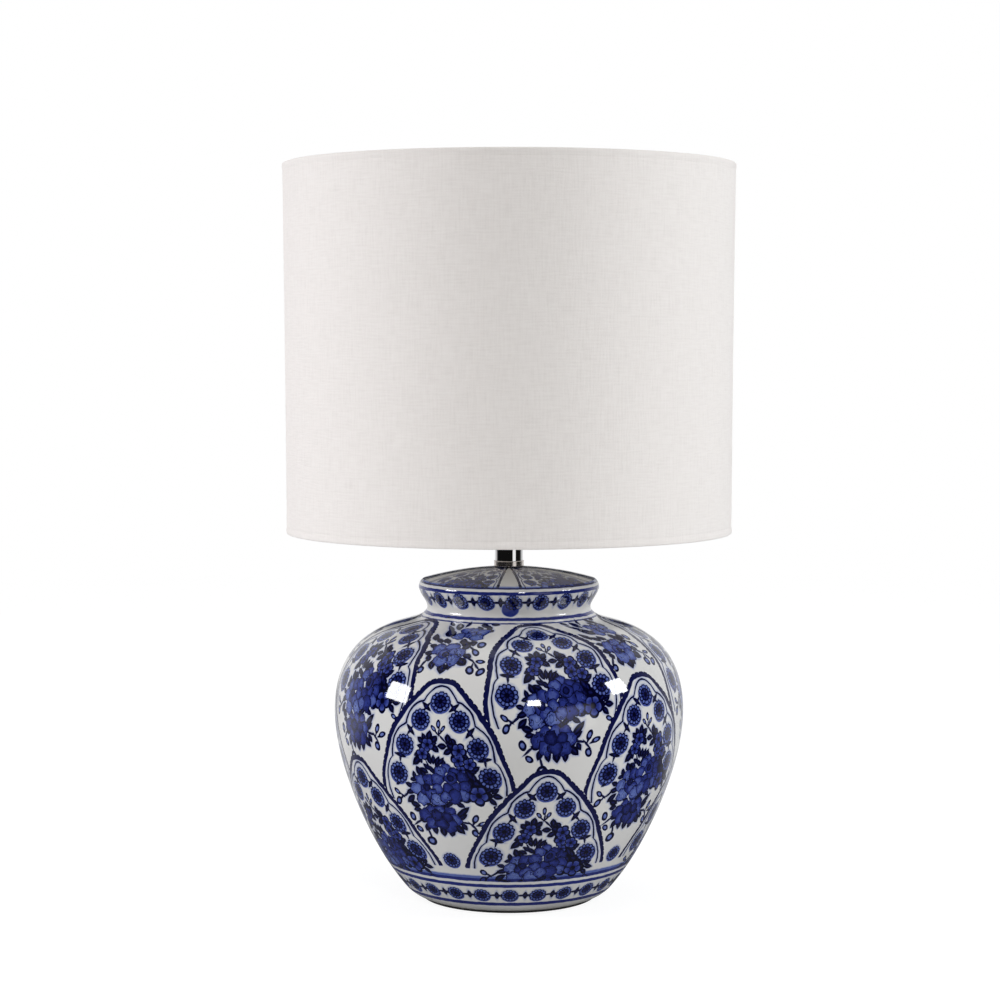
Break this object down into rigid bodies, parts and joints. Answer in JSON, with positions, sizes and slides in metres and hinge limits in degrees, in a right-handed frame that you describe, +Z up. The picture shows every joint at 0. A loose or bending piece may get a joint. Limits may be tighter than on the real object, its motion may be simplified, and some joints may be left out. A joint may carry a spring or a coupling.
{
  "type": "table lamp",
  "caption": "Table lamp with a domed blue and white ceramic ginger jar base, chrome neck, threaded lampholder and a linen drum shade that turns and lifts off.",
  "frame": {"origin": "on the lamp's axis at the underside of the felt pad", "axes": "+Z up along the lamp's axis, -Y towards the front, the cord grommet at the back on +Y"},
  "size_m": [0.3499, 0.35, 0.5705],
  "materials": {
    "felt": "matt felt",
    "board": "hardboard",
    "glaze": "clear gloss glaze over blue painting",
    "black_rubber": "matt",
    "zinc_steel": "zinc plated",
    "chrome": "mirror",
    "black_plastic": "satin moulded",
    "white_ceramic": "unglazed",
    "brass": "bright",
    "white_wire": "white powder coat",
    "liner": "translucent white laminate",
    "linen": "plain weave linen"
  },
  "bodies": {
    "root": {"felt_pad": "felt", "base_board": "board", "jar": "glaze", "cord_grommet": "black_rubber", "threaded_rod": "zinc_steel", "clamp_seat": "black_rubber", "clamp_plate": "zinc_steel", "lock_washer": "zinc_steel", "lower_nut": "zinc_steel", "gasket": "black_rubber", "collar": "chrome", "neck_tube": "chrome", "tube_cap": "chrome", "upper_nut": "zinc_steel", "holder_cap": "black_plastic", "lock_screw": "zinc_steel", "holder_shell": "black_plastic", "holder_insert": "white_ceramic", "screw_shell": "brass", "contact_base": "brass", "live_terminal": "brass", "neutral_terminal": "brass", "terminal_screws": "zinc_steel", "rivets": "brass"},
    "contact": {"centre_contact": "brass"},
    "lower_ring": {"lower_shade_ring": "black_plastic"},
    "shade": {"shade_frame": "white_wire", "shade_top_wire": "white_wire", "shade_liner": "liner", "shade_fabric": "linen"},
    "upper_ring": {"upper_shade_ring": "black_plastic"}
  },
  "joints": [
    {"name": "contact_press", "type": "hinge", "parent": "root", "child": "contact", "pos_m": [0.0056, 0, 0.3229], "axis": [0, 1, 0], "range_deg": [-12, 0], "stiffness_Nm_per_rad": 0.02},
    {"name": "shade_turn", "type": "hinge", "parent": "root", "child": "lower_ring", "pos_m": [0, 0, 0.319], "axis": [0, 0, 1], "continuous": true},
    {"name": "shade_lift", "type": "slide", "parent": "lower_ring", "child": "shade", "axis": [0, 0, 1], "range_m": [0, 0.07]},
    {"name": "ring_turn", "type": "hinge", "parent": "shade", "child": "upper_ring", "pos_m": [0, 0, 0.3205], "axis": [0, 0, 1], "continuous": true}
  ]
}
